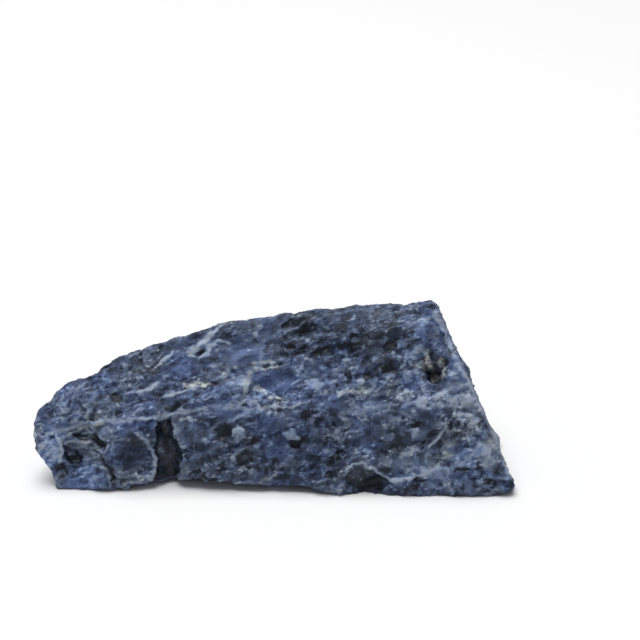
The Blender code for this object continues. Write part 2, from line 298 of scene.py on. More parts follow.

# Small hollows of the front, where grains broke out and left dark glassy walls. Those named shade
# around the fork are painted shade, between and under its raised arms. Each has the pixel of its
# middle, its two radii, its lean in degrees, its depth in millimetres and darkness.
FRONT_HOLLOWS = {
    "dark foot": (76, 475, 9, 3, 10, 0.3, 0.6),
    "speck of the left tip": (51, 437, 3.4, 2.6, 30, 0.2, 0.7),
    "next speck": (43, 450, 3.4, 2.6, 50, 0.15, 0.6),
    "third speck": (51, 456, 3.6, 2.6, 50, 0.15, 0.6),
    "left slope": (117, 398, 9, 6, -10, 0.3, 0.7),
    "edge of the left slope": (108, 386, 7, 3, 25, 0.2, 0.5),
    "under the left slope": (96, 416, 8, 4, 10, 0.2, 0.45),
    "upper slope": (142, 372, 9, 3, 0, 0.2, 0.45),
    "small facet": (158, 395, 6, 5, 0, 0.2, 0.5),
    "brown hollow": (159, 403, 9, 5, 10, 0.2, 0.45),
    "olive hollow": (175, 407, 11, 3.5, 15, 0.2, 0.5),
    "over the crease": (184, 401, 5, 2.6, 20, 0.2, 0.5),
    "end of the crease": (212, 411, 4, 3, 0, 0.2, 0.5),
    "dark spot": (206, 370, 4, 4, 20, 0.2, 0.5),
    "eye of the hook": (201, 352, 6, 2.8, 25, 0.3, 0.85),
    "left of the cream vein": (186, 387, 3, 2.6, 0, 0.1, 0.8),
    "right of the cream vein": (215, 384, 5, 3, -20, 0.15, 0.8),
    "green spot under the crease": (256, 416, 5.5, 5, 0, 0.3, 0.7),
    "green spot in the specks": (266, 366, 6, 3, 10, 0.2, 0.6),
    "right of the blister": (252, 441, 4, 7, -40, 0.2, 0.6),
    "hole under the knob": (294, 444, 6.5, 6, 0, 0.5, 0.95),
    "hole right of the knob": (302, 438, 3.6, 3.6, 0, 0.3, 0.95),
    "facet over the knob": (306, 415, 6, 6, 0, 0.2, 0.5),
    "long facet": (334, 459, 15, 4.5, 45, 0.3, 0.6),
    "facet of the foot": (331, 475, 8, 5, 10, 0.3, 0.7),
    "facet right of it": (347, 444, 4.5, 6, 0, 0.3, 0.8),
    "facet under the crease": (333, 411, 7, 5, 0, 0.3, 0.6),
    "facet by the cleft": (200, 462, 6, 5, 30, 0.3, 0.4),
    "facet of the left foot": (202, 474, 7, 6, 0, 0.3, 0.6),
    "purple facet": (212, 458, 8, 6, 30, 0.2, 0.45),
    "small facet of the foot": (222, 469, 5, 4, 0, 0.2, 0.6),
    "other small facet": (213, 480, 4, 3, 0, 0.2, 0.6),
    "third small facet": (238, 479, 6, 3.6, 30, 0.2, 0.5),
    "middle facet": (270, 470, 6, 5, 60, 0.2, 0.5),
    "facet under the knob": (276, 462, 6, 4, -30, 0.2, 0.5),
    "right facet": (316, 466, 8, 5, 20, 0.2, 0.4),
    "black streak, upper": (306, 330, 13, 4.5, 13, 0.5, 1.0),
    "black streak, middle": (321, 351, 15, 5, 27, 0.5, 1.0),
    "black streak, left": (291, 347, 5, 3.4, 20, 0.4, 0.9),
    "black streak, inner": (304, 347, 5, 2.8, 10, 0.3, 0.8),
    "black streak, lower": (300, 353, 6, 3, 10, 0.3, 0.8),
    "black streak, right": (354, 349, 9, 4, 15, 0.3, 0.8),
    "black streak, far right": (354, 336, 6, 2.8, 10, 0.3, 0.7),
    "dark notch": (348, 378, 9, 4.5, 100, 0.5, 0.95),
    "small notch": (369, 339, 4, 3, 0, 0.2, 0.7),
    "smoky spot": (386, 367, 11, 8, 0, 0.4, 0.95),
    "speckled spot": (367, 376, 7, 5, 0, 0.3, 0.75),
    "smoky spot by the peak": (389, 347, 10, 7, 40, 0.3, 0.65),
    "line by the peak": (401, 364, 7, 2.8, 50, 0.3, 0.8),
    "slit by the peak": (409, 347, 6, 2.8, 100, 0.2, 0.75),
    "left of the pit": (414, 366, 3, 4, 0, 0.2, 0.7),
    "smudge on the peak": (428, 326, 4, 3, 0, 0.2, 0.5),
    "slit of the right foot": (462, 469, 11, 3, 12, 0.3, 1.0),
    "shade left of the fork": (434, 433, 7, 4, 20, 0.3, 0.9),
    "shade under the left arm": (425, 442, 7, 4, 55, 0.2, 0.9),
    "shade in the fork": (456, 436, 13, 5, 0, 0.3, 0.95),
    "shade between the arms": (452, 427, 5, 2.6, 60, 0.2, 0.8),
    "shade under the fork": (441, 444, 5, 2.6, 80, 0.2, 0.7),
    "shade over the fork": (416, 424, 8, 4, -10, 0.2, 0.6),
    "purple column": (409, 438, 9, 4, 90, 0.2, 0.6),
    "shade of the smoky face": (395, 449, 8, 5, -50, 0.2, 0.6),
    "under the smoky face": (386, 470, 8, 3.4, 5, 0.2, 0.8),
    "deep blue corner": (496, 471, 5, 5, 0, 0.2, 0.6),
    "dark right corner": (489, 482, 9, 4.5, 10, 0.3, 0.85),
    "under the band": (418, 480, 9, 3.4, 10, 0.2, 0.6),
    "foot of the band": (411, 488, 11, 4, 10, 0.2, 0.7),
    "speck of the right foot": (441, 483, 3, 2.6, 0, 0.1, 0.6),
    "second speck": (461, 488, 4, 3.4, -30, 0.1, 0.6),
    "over the slit": (478, 458, 4, 2.6, 20, 0.1, 0.3),
}
for x, y, long, short, lean, sunk, strength in FRONT_HOLLOWS.values():
    draw_hollow(front, (x, y), (long, short), lean, sunk, "glass_and_shade", strength)

# Two round crystals that stand out of the lower front: a pale blister and a white knob.
draw_hollow(front, (240, 434), (9, 8), 0, -0.6, "pale", 0.6)
WHITE_KNOB = [(283, 433), (288, 432), (290, 428), (295, 430), (301, 438), (297, 441), (289, 441)]
draw_patch(front, WHITE_KNOB, "pale", 0.6, 1.5, sunk=-0.5)

# Single pale grains of the front, a little proud of the rock around them, by the region they lie
# in. Each has the pixel of its middle, its two radii, its lean and how pale it is.
PROUD_GRAIN = 0.06
FRONT_GRAINS = {
    "left tip": [
        (42, 446, 5, 6, 0, 0.6), (52, 458, 4, 5, 40, 0.5), (62, 419, 3, 3, 0, 0.6),
        (47, 438, 4, 3, 30, 0.5), (39, 454, 3, 4, 0, 0.5), (56, 449, 3, 3, 0, 0.5),
    ],
    "left slope": [
        (94, 396, 5, 2.6, 20, 0.6), (102, 387, 3.4, 2.6, 0, 0.5), (125, 387, 5, 2.6, 20, 0.6),
        (86, 416, 3.4, 3, 0, 0.7), (68, 410, 4, 2.6, 10, 0.7), (84, 405, 4, 2.4, 25, 0.5),
        (119, 407, 4.5, 2.4, -30, 0.5), (141, 409, 6, 2.4, 5, 0.6), (106, 417, 5.5, 2.4, 10, 0.5),
        (142, 418, 3, 2.6, 0, 0.5), (72, 404, 3, 2.6, 0, 0.4), (78, 414, 5, 2.4, -15, 0.4),
    ],
    "upper slope": [
        (132, 354, 5, 2.6, 35, 0.6), (125, 365, 5.5, 3, 35, 0.6), (140, 378, 3.4, 2.6, 0, 0.7),
        (166, 377, 4, 2.6, 20, 0.6), (176, 378, 4, 2.4, 0, 0.45), (149, 378, 3, 2.4, 0, 0.4),
        (190, 363, 3, 2.4, 0, 0.4), (213, 366, 5, 2.4, -10, 0.5), (197, 367, 3, 2.4, 0, 0.35),
        (235, 367, 3.4, 2.6, 20, 0.6), (106, 373, 3.4, 2.4, 0, 0.4),
    ],
    "over the crease": [
        (200, 402, 4, 2.4, -25, 0.6), (207, 409, 2.8, 2.6, 0, 0.7), (187, 413, 3.2, 2.8, 0, 0.7),
        (200, 414, 2.8, 3.4, 0, 0.6), (190, 420, 5.5, 3, -30, 0.6), (217, 398, 4, 2.4, 0, 0.4),
        (245, 387, 3, 5, 0, 0.5),
    ],
    "white streaks": [
        (273, 406, 3.4, 2.6, 0, 0.8), (269, 413, 2.8, 2.6, 0, 0.8), (275, 413, 2.8, 2.8, 0, 0.9),
        (272, 364, 4.5, 4, 0, 0.6), (282, 358, 4, 2.6, 10, 0.5),
    ],
    "under the dark streaks": [
        (305, 373, 3, 4, 0, 0.45), (335, 372, 4, 4.5, 0, 0.5), (313, 372, 3.4, 2.4, 0, 0.5),
        (314, 380, 5, 3, 0, 0.65), (318, 386, 7, 4.5, 0, 0.65), (334, 382, 5.5, 2.6, 25, 0.8),
        (302, 366, 3, 2.4, 0, 0.4), (340, 391, 4, 3, 0, 0.5),
    ],
    "dark streaks": [
        (308, 359, 4.5, 2.6, 5, 0.7), (343, 338, 4, 3.4, 30, 0.5), (355, 331, 4, 3.4, 0, 0.5),
        (344, 353, 5, 3.4, 0, 0.5), (346, 359, 5, 2.8, 10, 0.45), (358, 347, 3, 2.4, 0, 0.4),
        (364, 347, 3, 3, 0, 0.5), (370, 335, 2.6, 3.4, 0, 0.4), (386, 331, 2.6, 4, 20, 0.5),
        (375, 359, 4.5, 2.6, 15, 0.6), (393, 354, 2.8, 2.8, 0, 0.7), (398, 346, 2.6, 4.5, -20, 0.5),
        (390, 376, 5.5, 2.6, 20, 0.8), (336, 349, 4, 2.4, 25, 0.45), (313, 343, 4.5, 2.4, 35, 0.45),
        (286, 342, 3, 2.4, 0, 0.5), (384, 361, 3, 2.4, 0, 0.4), (401, 340, 2.6, 4, -20, 0.4),
    ],
    "under the streaks": [
        (361, 381, 4, 3, 20, 0.7), (376, 381, 2.8, 4, -20, 0.6), (384, 383, 5, 2.6, 30, 0.6),
        (374, 385, 4, 2.4, 0, 0.6), (403, 366, 3, 4, -30, 0.6), (411, 363, 2.8, 4, 0, 0.7),
        (411, 357, 3.4, 2.6, 0, 0.4), (409, 375, 4, 4, 0, 0.45), (417, 379, 3, 3, 0, 0.5),
    ],
    "lower face": [
        (205, 441, 4, 3, 0, 0.7), (193, 426, 4, 4, 0, 0.35), (257, 447, 3, 2.8, 0, 0.6),
        (287, 447, 3.2, 2.8, 0, 0.6), (267, 464, 3, 2.8, 0, 0.6), (270, 457, 4.5, 2.6, 20, 0.4),
        (232, 465, 4.5, 2.8, -40, 0.5), (233, 458, 2.8, 3.4, 0, 0.4), (253, 471, 5, 2.6, 35, 0.5),
        (214, 476, 3, 3, 0, 0.5), (293, 472, 3, 2.6, 0, 0.5), (302, 469, 3, 3, 0, 0.5),
        (162, 451, 4, 2.6, 20, 0.5), (326, 450, 4, 2.6, 20, 0.4), (330, 454, 2.8, 3.4, 0, 0.4),
        (324, 458, 3.4, 2.6, 0, 0.4), (338, 431, 5, 3, 20, 0.5), (343, 419, 3, 3, 0, 0.6),
        (318, 416, 3.4, 2.8, 0, 0.5), (301, 420, 4, 2.8, 0, 0.45), (284, 465, 4.5, 2.6, -40, 0.35),
        (185, 457, 2.6, 5.5, 0, 0.4), (303, 484, 6, 2.6, 0, 0.4), (344, 485, 4, 3, -40, 0.5),
        (186, 446, 3, 3, 0, 0.3),
    ],
    "frosted band": [
        (406, 391, 5, 4, 0, 1.0), (400, 398, 5.5, 3.6, -30, 0.7), (409, 401, 4, 3, 0, 0.5),
        (441, 394, 6, 4, 0, 0.9), (436, 398, 6, 3.4, 0, 0.7), (459, 397, 6, 4, 0, 0.75),
        (450, 399, 5, 4, 0, 0.65), (393, 404, 5, 2.6, 0, 0.6), (414, 411, 3.6, 3, -40, 0.6),
        (420, 400, 3, 7, 0, 0.65), (466, 402, 7, 4, 10, 0.65), (477, 404, 4, 3.4, 0, 0.65),
        (429, 391, 2.8, 4, 0, 0.4),
    ],
    "smoky face": [
        (385, 426, 5, 2.8, -30, 0.8), (399, 419, 4.5, 2.8, 35, 0.7), (393, 428, 2.8, 4.5, 0, 0.5),
        (403, 455, 4, 3.2, 30, 0.8), (412, 452, 6, 2.8, 20, 0.5), (418, 448, 3.4, 2.6, 0, 0.5),
        (402, 434, 3.4, 2.4, 30, 0.35), (418, 436, 5, 4, 0, 0.25),
    ],
    "fork": [
        (473, 425, 6, 4, -40, 0.65), (466, 420, 5, 3, 20, 0.6), (478, 430, 3.4, 3, 0, 0.5),
        (453, 430, 2.8, 3.4, 0, 0.45), (481, 411, 3.4, 3, 0, 0.5), (459, 419, 4, 3, 0, 0.5),
    ],
    "right foot": [
        (426, 472, 7, 3, -20, 0.75), (404, 480, 8, 3, 15, 0.5), (461, 464, 5, 2.8, 0, 0.6),
        (467, 458, 3, 5, -20, 0.5), (455, 464, 5, 3, 0, 0.4), (486, 437, 5, 3, 0, 0.5),
        (479, 442, 3.4, 3, 0, 0.5), (485, 449, 4, 3, 0, 0.45), (466, 476, 4, 3, 20, 0.4),
        (476, 474, 3, 3.4, 0, 0.4), (447, 483, 5, 2.8, 20, 0.6), (440, 488, 4.5, 2.6, 20, 0.5),
        (457, 484, 3, 3.4, 0, 0.5), (478, 489, 4.5, 2.6, 0, 0.4), (504, 463, 4, 5, 0, 0.7),
        (508, 478, 3, 5, 0, 0.5),
    ],
}
for there in FRONT_GRAINS.values():
    for x, y, long, short, lean, strength in there:
        draw_hollow(front, (x, y), (long, short), lean, -PROUD_GRAIN, "pale", strength)

# The pit by the peak: a large crystal fell out and left a dark glassy hole, with slim pale
# crystals still standing in it.
PIT = [(421, 356), (430, 351), (441, 353), (448, 361), (446, 374), (439, 384), (430, 382), (423, 372)]
PIT_BOTTOM = [(426, 371), (434, 368), (443, 369), (443, 378), (436, 384), (428, 380)]
PIT_WALL = [(434, 355), (446, 357), (447, 367), (440, 368)]
draw_patch(front, PIT, "glass_and_shade", 0.75, flat=0.2, sunk=0.5)
draw_patch(front, PIT_BOTTOM, "glass_and_shade", 1.15, 1.5, flat=0.3, sunk=1.2)
draw_patch(front, PIT_WALL, "glass_and_shade", 0.7, 1.5, flat=0.6, sunk=0.2)
draw_hollow(front, (428, 361), (11, 5.5), 115, -0.3, "cream", 0.55)
draw_hollow(front, (422, 366), (6, 4), 110, -0.2, "cream", 0.3)
draw_hollow(front, (440, 361), (6, 2.6), 85, -0.2, "cream", 0.2)
draw_hollow(front, (443, 373), (6, 2.6), 65, -0.2, "cream", 0.6)

# Broken holes of the left tip, one over the other, with dark glassy walls and lighter splinters
# of rock left between them.
BROKEN_HOLLOW = [(64, 442), (76, 430), (98, 427), (110, 434), (114, 452), (111, 468), (98, 466),
    (84, 470), (66, 474), (58, 466)]
BLACK_HOLE = [(64, 447), (71, 448), (83, 456), (82, 462), (71, 463), (66, 458)]
UPPER_SLOT = [(73, 431), (86, 434), (96, 436), (105, 441), (106, 449), (97, 447), (86, 441), (75, 437)]
LOWER_HOLE = [(54, 465), (65, 463), (67, 472), (65, 479), (57, 479)]
RIGHT_CRACK = [(100, 457), (106, 464), (114, 470), (116, 480), (111, 481), (104, 470)]
BROWN_FACET = [(75, 442), (90, 443), (92, 452), (84, 456), (75, 451)]
GREY_FACET = [(81, 458), (94, 458), (101, 462), (91, 468), (81, 467)]
draw_patch(front, BROKEN_HOLLOW, "light", 0.4, 3, sunk=0.4)
draw_patch(front, BLACK_HOLE, "glass_and_shade", 0.85, flat=0.3, sunk=0.8)
draw_patch(front, UPPER_SLOT, "glass_and_shade", 0.85, 1.5, sunk=0.7)
draw_patch(front, LOWER_HOLE, "glass_and_shade", 0.85, 1.5, sunk=0.6)
draw_patch(front, RIGHT_CRACK, "glass_and_shade", 0.8, 1.5, sunk=0.6)
draw_patch(front, BROWN_FACET, "glass_and_shade", 0.3, flat=0.8, sunk=-0.3)
draw_patch(front, GREY_FACET, "light", 0.6, flat=0.3, sunk=-0.2)

# Glassy cleavage faces of the front, where large crystals split along their flat planes: dark, smooth
# and a little glossy. The fork's shade among them is painted shade between the fork's raised arms.
CLEFT_FACE = [(156, 421), (169, 419), (175, 427), (172, 436), (179, 444), (183, 456), (179, 470),
    (172, 484), (154, 485), (157, 460), (153, 448), (156, 435)]
DISH = [(124, 438), (132, 432), (140, 439), (145, 451), (143, 462), (134, 470), (124, 468), (121, 453)]
ARCHED_FACE = [(345, 477), (351, 469), (362, 467), (372, 471), (384, 478), (394, 484), (380, 490),
    (352, 489)]
BLISTER_FACET = [(215, 427), (226, 423), (233, 427), (232, 436), (224, 442), (215, 439)]
BLACK_FACET = [(236, 457), (245, 450), (255, 452), (253, 460), (245, 465), (237, 464)]
SMOKY_FACE = [(361, 418), (395, 414), (410, 430), (398, 450), (372, 446)]
FORK_SHADE = [(421, 441), (436, 427), (455, 423), (474, 432), (460, 445), (432, 446)]
draw_patch(front, CLEFT_FACE, "glass_and_shade", 1, 1.2, flat=1, sunk=0.4)
draw_patch(front, DISH, "glass_and_shade", 0.42, 5, flat=0.9, sunk=0.6)
draw_patch(front, ARCHED_FACE, "glass_and_shade", 0.8, 1.5, flat=0.9, sunk=0.3)
draw_patch(front, BLISTER_FACET, "glass_and_shade", 0.85, flat=0.7, sunk=0.2)
draw_patch(front, BLACK_FACET, "glass_and_shade", 1, 1.5, flat=0.7, sunk=0.3)
draw_patch(front, SMOKY_FACE, "glass_and_shade", 0.35, 4, flat=0.6)
draw_patch(front, FORK_SHADE, "glass_and_shade", 0.55, 3, flat=0.4, sunk=0.2)

# Faces of clean deep blue, where the crystals hold no white.
ABOVE_DISH = [(116, 424), (154, 421), (155, 438), (146, 436), (134, 430), (120, 434)]
BLUE_MIDDLE = [(252, 414), (286, 414), (290, 428), (284, 440), (286, 456), (262, 462), (252, 444),
    (258, 428)]
BLUE_UNDER_CLEAR = [(250, 372), (282, 372), (300, 384), (284, 398), (262, 392)]
LEFT_FOOT_BLUE = [(66, 480), (104, 474), (109, 486), (92, 491), (66, 491)]
BLUE_BY_PIT = [(404, 376), (416, 374), (424, 388), (404, 390)]
BLUE_UNDER_STREAKS = [(286, 368), (330, 368), (342, 410), (340, 432), (292, 438), (284, 400)]
for outline in (ABOVE_DISH, BLUE_MIDDLE, BLUE_UNDER_CLEAR, LEFT_FOOT_BLUE, BLUE_BY_PIT):
    draw_patch(front, outline, "blue", 1, 4, flat=0.5)
draw_patch(front, BLUE_UNDER_STREAKS, "blue", 0.6, 8)

# Light powdery crusts, where the skin is bruised, and faces of clearer blue.
LEFT_TIP_CRUST = [(38, 437), (52, 434), (60, 447), (58, 465), (48, 468), (37, 452)]
LEFT_FOOT_CRUST = [(64, 478), (84, 464), (104, 468), (109, 484), (92, 491), (66, 491)]
CLEAR_FACE = [(242, 333), (264, 342), (262, 364), (242, 372), (226, 365), (229, 349)]
RIGHT_LILAC_FACE = [(454, 361), (473, 386), (466, 393), (444, 390), (448, 374)]
PEAK_FACE = [(418, 318), (437, 309), (450, 334), (446, 352), (424, 350)]
FOOT_BLUE = [(384, 462), (404, 455), (428, 456), (424, 468), (396, 476)]
MIDDLE_BLUE = [(262, 372), (300, 368), (330, 380), (322, 396), (280, 394)]
BLUE_SLOPE = [(158, 350), (206, 330), (224, 348), (200, 372), (160, 380)]
draw_patch(front, LEFT_TIP_CRUST, "powder", 0.5, 4)
draw_patch(front, LEFT_TIP_CRUST, "frost", 0.6, 3)
draw_patch(front, LEFT_FOOT_CRUST, "powder", 0.8, 4)
draw_patch(front, CLEAR_FACE, "powder", 0.2, 5, flat=0.8)
draw_patch(front, RIGHT_LILAC_FACE, "powder", 0.5, 3, flat=0.8)
draw_patch(front, PEAK_FACE, "powder", 0.5, 6)
draw_patch(front, FOOT_BLUE, "powder", 0.4, 5, flat=0.4)
draw_patch(front, MIDDLE_BLUE, "powder", 0.2, 6)
draw_patch(front, BLUE_SLOPE, "powder", 0.3, 8, flat=0.3)

# Parts of the front that are darker all over, partly because their grains are smoky and partly as painted
# shade.
LEFT_SLOPE = [(96, 366), (150, 346), (206, 352), (224, 384), (216, 402), (112, 412), (90, 396)]
UPPER_RIGHT = [(286, 322), (390, 319), (404, 338), (398, 370), (376, 378), (344, 368), (300, 360),
    (284, 346)]
LOWER_FACE = [(184, 418), (250, 416), (300, 414), (352, 412), (346, 468), (332, 490), (186, 490)]
LEFT_OF_PEAK = [(366, 322), (404, 322), (407, 340), (402, 360), (386, 364), (374, 346)]
OVER_THE_FORK = [(410, 410), (450, 408), (456, 424), (436, 434), (412, 430)]
RIGHT_CORNER = [(470, 476), (498, 470), (508, 484), (500, 494), (474, 492)]
draw_patch(front, LEFT_SLOPE, "deep", 0.35, 9)
# The upper right and the part left of the peak are smoky grains and also a painted cast shadow, as of a
# stone lying over the top.
draw_patch(front, UPPER_RIGHT, "deep", 0.8, 9)
draw_patch(front, LEFT_OF_PEAK, "deep", 1.25, 6)
# The lower face is smoky grains and also painted shade, darker because the steep face gets less light.
draw_patch(front, LOWER_FACE, "deep", 0.45, 9)
draw_patch(front, RIGHT_CORNER, "deep", 0.3, 4)
draw_patch(front, OVER_THE_FORK, "deep", 0.9, 5)

# Parts of the front that are lighter all over, because they are full of fine white grains; the step
# is also painted light. Each has its outline, how light it is, and how many pixels its soft edge takes.
LOWER_RIGHT = [(396, 398), (480, 396), (504, 452), (500, 466), (400, 482), (404, 440), (416, 416)]
OVER_THE_SLIT = [(454, 454), (470, 446), (494, 444), (500, 463), (478, 467), (456, 464)]
LIGHTER = {
    "lower right": (LOWER_RIGHT, 0.55, 8),
    "left end": ([(36, 434), (60, 430), (112, 424), (120, 436), (108, 488), (64, 490), (48, 470)], 0.35, 6),
    "peak": ([(412, 318), (436, 308), (456, 346), (470, 380), (444, 386), (446, 352), (420, 344)], 0.7, 6),
    "upper middle": ([(216, 346), (262, 338), (300, 376), (330, 392), (300, 404), (216, 402)], 0.3, 8),
    "middle band": ([(228, 376), (262, 382), (272, 400), (268, 416), (232, 416)], 0.85, 6),
    "under streaks": ([(290, 361), (340, 362), (352, 390), (332, 402), (310, 388), (292, 372)], 1, 5),
    "over lower face": ([(334, 396), (374, 396), (370, 424), (340, 430)], 0.8, 7),
    "over the slit": (OVER_THE_SLIT, 1.35, 4),
    # The step is a pale seam with painted light on it, lifting the shade of the ledge that faces down.
    "painted light on the step": ([(230, 378), (250, 376), (254, 400), (236, 408)], 1.9, 4),
    "under patch": ([(118, 376), (150, 378), (152, 414), (130, 420), (116, 404)], 0.5, 8),
    "over crease": ([(188, 396), (228, 392), (232, 414), (196, 418)], 0.6, 6),
    "left tip": (
        [(34, 436), (58, 408), (78, 408), (74, 438), (58, 446), (60, 466), (66, 480), (48, 472)], 0.7, 6),
    "left of holes": ([(50, 424), (66, 420), (64, 440), (66, 468), (56, 466), (54, 446)], 1.3, 3),
    "left of pit": ([(398, 338), (420, 336), (436, 346), (422, 352), (420, 376), (402, 380)], 1, 5),
}
for outline, strength, edge in LIGHTER.values():
    draw_patch(front, outline, "light", strength, edge)
draw_patch(front, LOWER_RIGHT, "grey", 0.25, 8)
# The painted shade of the fork is greyer too.
draw_patch(front, FORK_SHADE, "grey", 1, 6)
draw_patch(front, LEFT_SLOPE, "blue", 0.25, 9)
draw_patch(front, LEFT_TIP_CRUST, "blue", 0.6, 4)
draw_patch(front, OVER_THE_SLIT, "blue", 0.6, 5)

# Frosted bands, where fine white grains crowd.
RIGHT_FROST = [(400, 392), (440, 388), (476, 392), (484, 408), (440, 410), (404, 406)]
CREASE_FROST = [(240, 398), (262, 388), (296, 392), (300, 410), (262, 412), (240, 412)]
FORK_FROST = [(440, 424), (468, 412), (484, 420), (480, 444), (462, 440)]
DISH_FROST = [(114, 466), (134, 472), (152, 464), (154, 482), (116, 488)]
SLOPE_FROST = [(98, 374), (156, 352), (160, 392), (100, 412), (52, 424), (62, 396)]
draw_patch(front, RIGHT_FROST, "frost", 0.7, 5)
draw_patch(front, CREASE_FROST, "frost", 0.8, 6)
draw_patch(front, FORK_FROST, "frost", 0.7, 4)
draw_patch(front, DISH_FROST, "frost", 0.4)
draw_patch(front, SLOPE_FROST, "frost", 0.35, 12)

# Veins of the front: thin seams of white or cream mineral that filled cracks in the rock; the right
# edge and the blister's ring also carry painted highlight. Each has the line that it follows, its width
# and how strongly it shows.
PALE_VEINS = {
    "long white vein": (((223, 323), (213, 332), (204, 341), (191, 353)), 6, 1),
    "its faint end": (((189, 350), (178, 357), (164, 366)), 4, 0.45),
    "short vein left of it": (((173, 352), (166, 358), (160, 364), (154, 369)), 3.6, 0.9),
    "hook": (((230, 343), (218, 341), (210, 346), (208, 353), (199, 358)), 4.5, 0.9),
    "white patch": (((139, 392), (147, 389), (156, 384)), 7, 1),
    "wing of the cream vein": (((211, 381), (219, 378), (226, 377)), 3, 0.5),
    "wedge right of it": (((227, 386), (231, 382), (235, 378)), 6, 0.55),
    "line under the cream": (((164, 397), (172, 395), (182, 391), (198, 387)), 4, 0.85),
    "fine line under it": (((181, 407), (187, 402), (193, 401)), 3, 0.6),
    "edge of the left slope": (((106, 399), (111, 394), (116, 390)), 3, 0.5),
    "line of the far slope": (((82, 384), (90, 381), (98, 377)), 3, 0.45),
    "edge of the small facet": (((152, 394), (158, 389), (164, 398)), 2.5, 0.4),
    "lilac hook": (((418, 394), (417, 403), (422, 407), (431, 408)), 4, 0.7),
    "end of the frosted band": (((465, 397), (471, 402), (477, 405)), 4, 0.6),
    "line in the smoky face": (((406, 422), (412, 430), (414, 437)), 2.5, 0.35),
    "wedge under the crease": (((224, 422), (233, 420), (241, 416), (250, 412)), 5, 0.55),
    "curl of the right foot": (((428, 482), (434, 487), (441, 488), (448, 483)), 3, 0.45),
    "line by the cleft": (((210, 433), (217, 427)), 3.5, 0.5),
    "crease, far left": (((42, 437), (50, 433), (62, 430), (84, 423)), 5, 0.7),
    "crease, left": (((84, 423), (100, 421), (120, 421), (142, 418)), 5, 0.7),
    "crease, middle": (((142, 419), (160, 417), (175, 412), (190, 411)), 6, 0.75),
    "crease, inner": (((190, 411), (212, 405), (228, 407), (250, 410)), 5, 0.6),
    "white streak, left": (((252, 402), (260, 400)), 4, 0.8),
    "white streak, lower": (((258, 409), (275, 405), (288, 407), (299, 404)), 4, 0.8),
    "seam of the clear face": (((263, 345), (259, 362), (252, 376), (254, 394)), 4, 0.35),
    "tail of the grey seam": (((366, 392), (384, 387), (402, 383)), 3, 0.5),
    "bright middle of the foot's band": (((394, 480), (409, 479), (420, 475), (432, 470)), 4, 1),
    "bright end of the foot's band": (((432, 470), (446, 467), (468, 466)), 3, 0.5),
    "web under the dish": (((112, 474), (124, 478), (138, 474), (152, 479)), 3.5, 0.6),
    "second line of the web": (((118, 486), (132, 482), (148, 486)), 3, 0.5),
    "first line of the tip": (((39, 452), (46, 444), (53, 439)), 3, 0.75),
    "second line": (((42, 461), (49, 452), (56, 446)), 3, 0.75),
    "third line": (((47, 470), (53, 461), (59, 455)), 3, 0.7),
    "fourth line": (((56, 478), (61, 472), (66, 478)), 3, 0.55),
    "line of the left foot": (((72, 482), (82, 474), (92, 470)), 3, 0.5),
    "second line of the left foot": (((84, 486), (94, 479), (104, 474)), 3, 0.5),
    "seam under the clear face": (((232, 402), (244, 402), (258, 404)), 4, 0.6),
    "frosted line": (((402, 405), (424, 402), (448, 406), (478, 404)), 4, 0.5),
    "rim left of the pit": (((417, 346), (413, 358), (416, 372), (424, 384)), 6, 0.55),
    "rim over the pit": (((420, 349), (432, 347), (444, 351)), 4, 0.4),
    "line over the middle": (((291, 384), (298, 380)), 3, 0.7),
    "short line by the knob": (((272, 435), (282, 428)), 2.5, 0.45),
    # The pale right edge is partly chipped white rock and partly a painted highlight along the rim, which
    # faces the light.
    "pale right edge, upper": (((434, 312), (444, 330), (452, 350), (459, 366)), 7, 0.75),
    "pale right edge, middle": (((459, 366), (472, 386), (483, 412)), 6, 0.85),
    "pale right edge, lower": (((484, 408), (490, 422), (497, 440), (504, 456), (510, 474)), 7, 0.9),
    # The ring of the blister is a painted highlight on the upper left of the bump, the side that faces the
    # light.
    "lit side of the blister": (((233, 437), (234, 431), (239, 428), (244, 429)), 3.5, 0.9),
    "thin line of the shade": (((277, 332), (283, 329), (290, 331), (298, 327), (305, 323)), 3.5, 0.6),
    "speckled seam": (((286, 343), (293, 341), (303, 338), (316, 336), (330, 334)), 3.5, 0.45),
    "speckled seam, right": (((346, 342), (356, 341), (366, 338)), 3.5, 0.5),
    "speckled seam, lower": (((294, 349), (301, 344), (309, 341)), 3, 0.5),
    "seam over the middle streak": (((311, 347), (322, 345), (334, 341)), 3, 0.4),
    "speck": (((404, 454), (412, 452)), 5, 0.7),
    "speck over the foot": (((366, 453), (371, 451)), 3.5, 0.7),
    "arc of the lower face": (((321, 424), (328, 430), (330, 442), (324, 452)), 2.5, 0.5),
    "second arc": (((336, 446), (345, 452), (342, 464)), 2.5, 0.4),
    "line by the smoky face": (((362, 420), (372, 430), (374, 446)), 2.5, 0.4),
    "line over the smoky face": (((392, 416), (384, 428), (374, 434)), 2.5, 0.35),
    "web by the cleft": (((188, 424), (196, 436), (194, 450), (202, 470)), 3, 0.4),
    "web in the middle": (((204, 420), (212, 430), (206, 448), (216, 462)), 3, 0.35),
}
CREAM_VEINS = {
    "cream vein": (((185, 384), (192, 385), (197, 383), (203, 385), (209, 383)), 5, 1),
    "foot of the lower face": (((261, 482), (268, 478), (276, 474)), 4, 0.4),
    "white streak, upper": (((256, 388), (262, 389), (265, 392)), 5, 0.85),
    "white streak, middle": (((268, 398), (274, 396), (280, 399)), 4.5, 0.85),
    "cream specks, upper": (((253, 364), (262, 361), (273, 362)), 3.5, 0.5),
    "cream specks, lower": (((256, 369), (266, 370), (276, 366)), 3.5, 0.6),
    "grey seam": (((338, 394), (345, 391), (355, 390), (365, 392)), 7, 0.5),
    "lower seam of the clear face": (((251, 371), (247, 380), (246, 388), (242, 398)), 5.5, 0.5),
}
